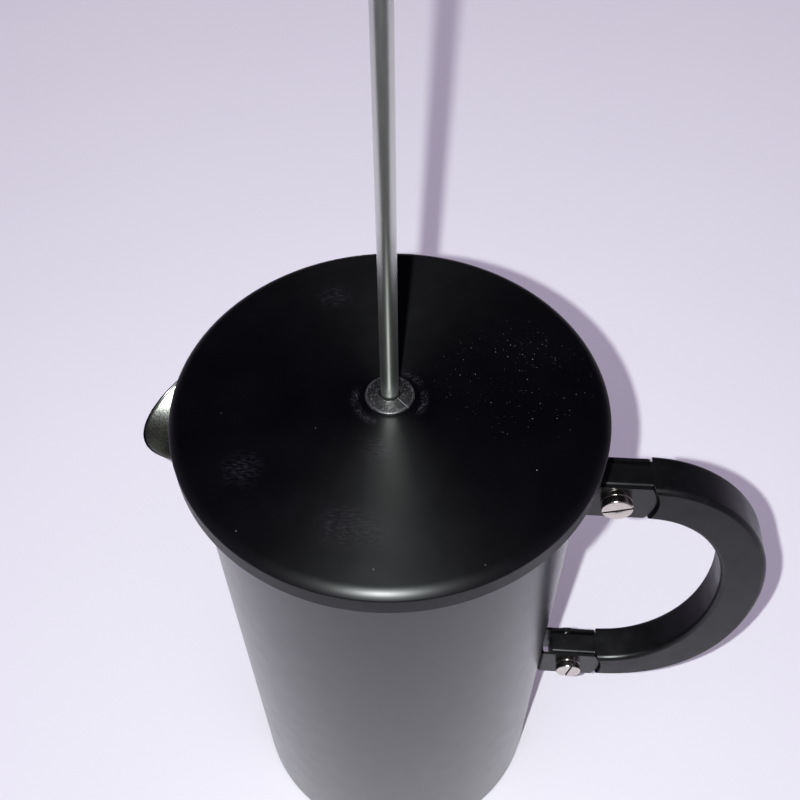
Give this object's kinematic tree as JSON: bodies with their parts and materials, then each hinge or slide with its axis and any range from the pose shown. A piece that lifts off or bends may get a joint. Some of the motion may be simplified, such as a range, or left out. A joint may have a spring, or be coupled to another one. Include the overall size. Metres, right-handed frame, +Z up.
{
  "type": "french press",
  "caption": "Straight double-walled black pot with a bent spout and D handle, a flat lid, and a raised plunger on a thin steel rod.",
  "frame": {"origin": "centre of the base plate's resting face, on the pot's axis", "axes": "+Z up along the pot's axis and the plunger rod, +X towards the handle, the spout points to -X"},
  "size_m": [0.1749, 0.1086, 0.3613],
  "materials": {
    "shell_paint": "satin black",
    "lid_paint": "matte black",
    "bracket_paint": "satin black",
    "handle_plastic": "satin black",
    "bush_plastic": "slightly rough black",
    "knob_plastic": "satin black",
    "vessel_steel": "matte bare steel",
    "liner_steel": "satin bare steel",
    "rod_steel": "polished, faint grain",
    "filter_steel": "satin bare steel",
    "mesh_steel": "fine woven wire",
    "screw_chrome": "polished",
    "insert_brass": "machined",
    "seal_rubber": "matte black"
  },
  "bodies": {
    "pot": {"outer_shell": "shell_paint", "inner_vessel": "vessel_steel", "base_plate": "shell_paint", "upper_bracket": "bracket_paint", "lower_bracket": "bracket_paint", "handle": "handle_plastic", "upper_screw": "screw_chrome", "lower_screw": "screw_chrome", "upper_collar": "screw_chrome", "lower_collar": "screw_chrome", "upper_barrel_nut": "screw_chrome", "lower_barrel_nut": "screw_chrome"},
    "seal": {"lid_seal": "seal_rubber"},
    "lid": {"lid_dome": "lid_paint", "lid_liner": "liner_steel"},
    "bush": {"guide_bush": "bush_plastic", "bush_nut": "liner_steel"},
    "plunger": {"plunger_rod": "rod_steel", "knob": "knob_plastic", "knob_insert": "insert_brass", "rod_collar": "rod_steel", "spiral_plate": "filter_steel", "edge_spring": "filter_steel", "filter_mesh": "mesh_steel", "cross_plate": "filter_steel", "filter_nut": "filter_steel"}
  },
  "joints": [
    {"name": "lid_lift", "type": "slide", "parent": "pot", "child": "seal", "axis": [0, 0, 1], "range_m": [0, 0.2]},
    {"name": "lid_turn", "type": "hinge", "parent": "seal", "child": "lid", "pos_m": [0, 0, 0.1835], "axis": [0, 0, 1], "continuous": true},
    {"name": "plunger_turn", "type": "hinge", "parent": "lid", "child": "bush", "pos_m": [0, 0, 0.1885], "axis": [0, 0, 1], "continuous": true},
    {"name": "plunger_slide", "type": "slide", "parent": "bush", "child": "plunger", "axis": [0, 0, 1], "range_m": [-0.14, 0]}
  ]
}
